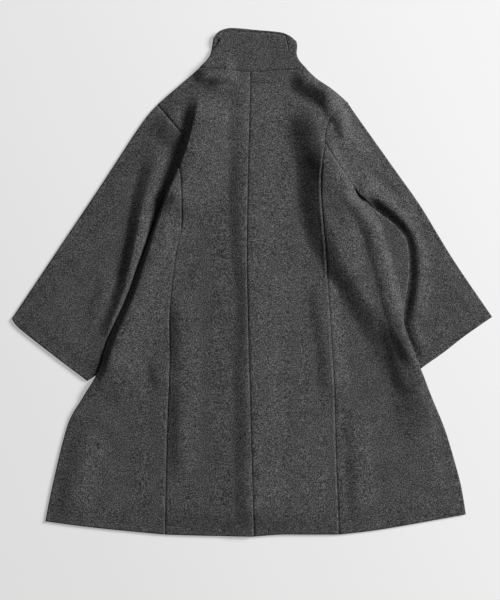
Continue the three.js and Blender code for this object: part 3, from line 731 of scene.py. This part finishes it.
def side_back_panel(side, name):
    rows = fall_rows(side)
    inner, outer = Boundary((side["princess"], 1)), Boundary((side["body_edge"], 1))
    columns = columns_across(np.linalg.norm(outer(rows) - inner(rows), axis=1), FINE)
    top, bottom = Boundary((side["under_back"], 1)), Boundary((side["hem_side"], 1))
    plan = plan_patch(inner, outer, top, bottom, rows, columns)
    inset(plan, "inner")
    inset(plan, "top")
    across, down = run_lengths(plan, 1), run_lengths(plan, 0)
    sink = groove(across) + groove(down)
    upper, lower = body_layers(side)
    points, turned, level = cloth(plan, upper, lower, body_edges(side), 1, sink)
    dressed(wall_mesh(f"{name}_cloth", points, wall_normals(points, turned, level, 1), WALL), name)


def front_panel(side, name):
    lap_x, lap_top = -side["sign"] * LAP, CENTRE_FRONT_TOP - LAP_TOP_DROP
    lengths = [LAP, length_of(side["neck_front"]), length_of(side["shoulder"])]
    lap_share, neck_share, shoulder_share = shares_of(*lengths)
    arm, under = length_of(side["armhole_front"]), length_of(side["under_front"])
    arm_share, under_share, edge_share = shares_of(arm, under, length_of(side["body_edge"]))
    rows = joined((steps(arm, HIDDEN, start=True), arm_share), (steps(under, HIDDEN, end=True), under_share),
                  (steps(length_of(side["body_edge"]), HIDDEN, start=True), edge_share))
    columns = joined((steps(LAP, HIDDEN), lap_share), (steps(lengths[1], HIDDEN, end=True), neck_share),
                     (steps(lengths[2], HIDDEN, end=True), shoulder_share))
    hem = [(x, y + FRONT_HEM_RISE) for x, y in side["hem_back"][1:] + side["hem_side"][1:-1]]
    hem = [(lap_x, CENTRE_FRONT_BOTTOM), *hem, side["body_edge"][-1]]
    lap_edge = Boundary(([(lap_x, lap_top), (lap_x, CENTRE_FRONT_BOTTOM)], 1))
    plan = plan_patch(
        inner=lambda v: lap_edge(v**LAP_CROWDING),
        outer=Boundary((side["armhole_front"], arm_share), (side["under_front"], under_share),
                       (side["body_edge"], edge_share)),
        top=Boundary(([(lap_x, lap_top), side["neck_front"][0]], lap_share),
                     (side["neck_front"], neck_share), (side["shoulder"], shoulder_share)),
        bottom=Boundary((hem, 1)), rows=rows, columns=columns, top_fade=FRONT_TOP_FADE)
    inset(plan, "top", stop=(columns < lap_share + neck_share + TINY).sum())
    inset(plan, "outer", stop=(rows < arm_share + under_share + TINY).sum())
    upper, lower = body_layers(side)
    points, turned, level = cloth(plan, upper, lower, body_edges(side), -1)
    dressed(wall_mesh(f"{name}_cloth", points, wall_normals(points, turned, level, -1), WALL), name)


def sleeve_half(side, which, spacing):
    """The plan of the upper or lower cloth of a sleeve, from its inner seam to its outer edge."""
    arm, under = side[f"armhole_{which}"], Curve(side[f"under_{which}"])
    back_under, inner_length = length_of(side["under_back"]), length_of(side["sleeve_inner"])
    rows = joined((steps(back_under, UNDERARM_SPACING, end=True), UNDERARM_SHARE),
                  (steps(inner_length, FALL_SPACING, start=True), 1 - UNDERARM_SHARE))
    shift = np.array(side["sleeve_inner"][0]) - np.array(side["body_edge"][0])

    def seam(t):
        return under.at(t) + smooth((np.asarray(t) - SHIFT_FROM) / (1 - SHIFT_FROM))[..., None] * shift

    inner = Boundary((seam, UNDERARM_SHARE), (side["sleeve_inner"], 1 - UNDERARM_SHARE))
    outer = Boundary((side["sleeve_outer"], 1))
    columns = columns_across(np.linalg.norm(outer(rows) - inner(rows), axis=1), spacing)
    top, bottom = Boundary((arm[::-1], 1)), Boundary((side["cuff"][::-1], 1))
    plan = plan_patch(inner, outer, top, bottom, rows, columns)
    seam_rows = (rows < UNDERARM_SHARE + TINY).sum()
    inset(plan, "top")
    inset(plan, "inner", stop=seam_rows)
    across, down = run_lengths(plan, 1), run_lengths(plan, 0)
    sink = groove(down)
    sink[:seam_rows] += groove(across[:seam_rows])
    return plan, sink


def sleeve(side, name):
    """One sheet, round from its inner seam under the arm and back to it."""
    def upper(xy):
        return sleeve_layer(side, xy)

    def lower(xy):
        return np.full(len(xy), FLOOR_LAYER)

    halves = []
    for which, up_or_down, spacing in (("front", -1, HIDDEN), ("back", 1, FINE)):
        plan, sink = sleeve_half(side, which, spacing)
        groove_depth = sink if up_or_down > 0 else 0 * sink
        points, turned, level = cloth(plan, upper, lower, sleeve_edges(side), up_or_down, groove_depth)
        halves.append((points, wall_normals(points, turned, level, up_or_down)))
    (under_points, under_normals), (over_points, over_normals) = halves
    points = np.concatenate([under_points[:, :-1], over_points[:, ::-1]], axis=1)
    normals = np.concatenate([under_normals[:, :-1], over_normals[:, ::-1]], axis=1)
    dressed(wall_mesh(f"{name}_cloth", points, normals, WALL), name)


def collar(name):
    """One strip round the neck, from its end at the middle of the front and back to it."""
    left, right = SIDES
    edges = [(side["upper_line"], -side["sign"], 0) for side in SIDES]
    rows = steps(COLLAR_HEIGHT, COLLAR_SPACING, start=True, end=True)

    def half_columns(key, spacing):
        parts = [steps(length_of(side[key]), spacing, start=True, end=True) for side in SIDES]
        return np.concatenate([0.5 - parts[0][::-1] / 2, 0.5 + parts[1][1:] / 2])

    def plan_of(key, top, spacing):
        plan = plan_patch(
            Boundary((left["collar_side"][::-1], 1)), Boundary((right["collar_side"][::-1], 1)),
            Boundary((left[key][::-1], 0.5), (right[key], 0.5)), Boundary((top, 1)),
            rows, half_columns(key, spacing))
        inset(plan, "top", by=SEAM_GAP)
        return plan

    def upper(xy):
        return TOP_LAYER + folds_on("body", xy) - creases_on("collar", xy)

    def lower(xy):
        return np.full(len(xy), COLLAR_WALL / 2)

    back_plan = plan_of("neck_back", COLLAR_TOP_BACK, COLLAR_SPACING)
    front_plan = plan_of("neck_front", COLLAR_TOP_FRONT, HIDDEN)
    middle = int(np.argmin(np.abs(front_plan[0, :, 0])))
    left_end = front_plan[:, 1:middle + 1][:, ::-1].copy()
    right_end = front_plan[:, middle:-1][:, ::-1].copy()
    left_end[:, 0, 0] -= COLLAR_END_GAP
    right_end[:, -1, 0] += COLLAR_END_GAP
    pieces = []
    for plan, up_or_down in ((left_end, -1), (back_plan, 1), (right_end, -1)):
        sink = groove(run_lengths(plan, 0)) * (up_or_down > 0)
        points, turned, level = cloth(plan, upper, lower, edges, up_or_down, sink)
        pieces.append((points, wall_normals(points, turned, level, up_or_down)))
    points = np.concatenate([p for p, _ in pieces], axis=1)
    normals = np.concatenate([n for _, n in pieces], axis=1)
    dressed(wall_mesh(f"{name}_cloth", points, normals, COLLAR_WALL), name)


def dress():
    for side, word in zip(SIDES, ("left", "right")):
        back_panel(side, f"back_{word}")
        side_back_panel(side, f"side_back_{word}")
        front_panel(side, f"front_{word}")
        sleeve(side, f"sleeve_{word}")
    collar("collar")


def floor():
    bpy.ops.mesh.primitive_plane_add(size=FLOOR_SIZE, location=(0, 0, 0))
    plane = bpy.context.object
    plane.name = "floor"
    material = bpy.data.materials.new("pale_floor_with_painted_light")
    material.use_nodes = True
    nodes, links = material.node_tree.nodes, material.node_tree.links
    shader = nodes["Principled BSDF"]
    # Painted light: the floor's colour is dimmed by the share that it then emits, brighter along a direction,
    # to lighten its shadows.
    shader.inputs["Base Color"].default_value = (*(FLOOR_GREY * (1 - PAINTED_LIGHT_SHARE)), 1)
    where, along, painted_light = (nodes.new(f"ShaderNode{kind}") for kind in ("TexCoord", "VectorMath", "MapRange"))
    along.operation = "DOT_PRODUCT"
    along.inputs[1].default_value = PAINTED_LIGHT_DIRECTION
    for end, places, brightness in zip(("Min", "Max"), PAINTED_LIGHT_PLACES, PAINTED_LIGHT_BRIGHTNESS):
        painted_light.inputs[f"From {end}"].default_value = places
        painted_light.inputs[f"To {end}"].default_value = brightness * PAINTED_LIGHT_SHARE
    links.new(where.outputs["Object"], along.inputs[0])
    links.new(along.outputs["Value"], painted_light.inputs["Value"])
    links.new(painted_light.outputs["Result"], shader.inputs["Emission Strength"])
    shader.inputs["Emission Color"].default_value = (1, 1, 1, 1)
    shader.inputs["Roughness"].default_value = 0.9
    shader.inputs["Specular IOR Level"].default_value = 0.1
    plane.data.materials.append(material)


def area_light(name, place, aim, size, power):
    light = bpy.data.lights.new(name, "AREA")
    light.shape = "SQUARE"
    light.size = size
    light.energy = power
    lamp = bpy.data.objects.new(name, light)
    bpy.context.scene.collection.objects.link(lamp)
    lamp.location = place
    x, y, z = np.array(aim) - np.array(place)
    lamp.rotation_euler = (math.atan2(math.hypot(x, y), -z), 0, math.atan2(y, x) - math.pi / 2)


def light_the_scene():
    turn, tilt = math.radians(KEY_TURN), math.radians(KEY_TILT)
    out = KEY_DISTANCE * math.cos(tilt)
    place = (out * math.cos(turn), out * math.sin(turn), KEY_DISTANCE * math.sin(tilt))
    area_light("key", place, (0, 0, 0), KEY_SIZE, KEY_POWER)
    world = bpy.data.worlds.new("studio")
    bpy.context.scene.world = world
    world.use_nodes = True
    world.node_tree.nodes["Background"].inputs["Color"].default_value = (1, 1, 1, 1)
    world.node_tree.nodes["Background"].inputs["Strength"].default_value = FILL
    bpy.context.scene.view_settings.view_transform = "Standard"


def camera():
    lens = bpy.data.cameras.new("camera")
    lens.lens = LENS
    lens.sensor_width = SENSOR
    made = bpy.data.objects.new("camera", lens)
    bpy.context.scene.collection.objects.link(made)
    height = PHOTO_HEIGHT * LENS / SENSOR
    made.location = (PHOTO_MIDDLE[0] / METRE, PHOTO_MIDDLE[1] / METRE, height / METRE)
    bpy.context.scene.camera = made


dress()
floor()
light_the_scene()
camera()
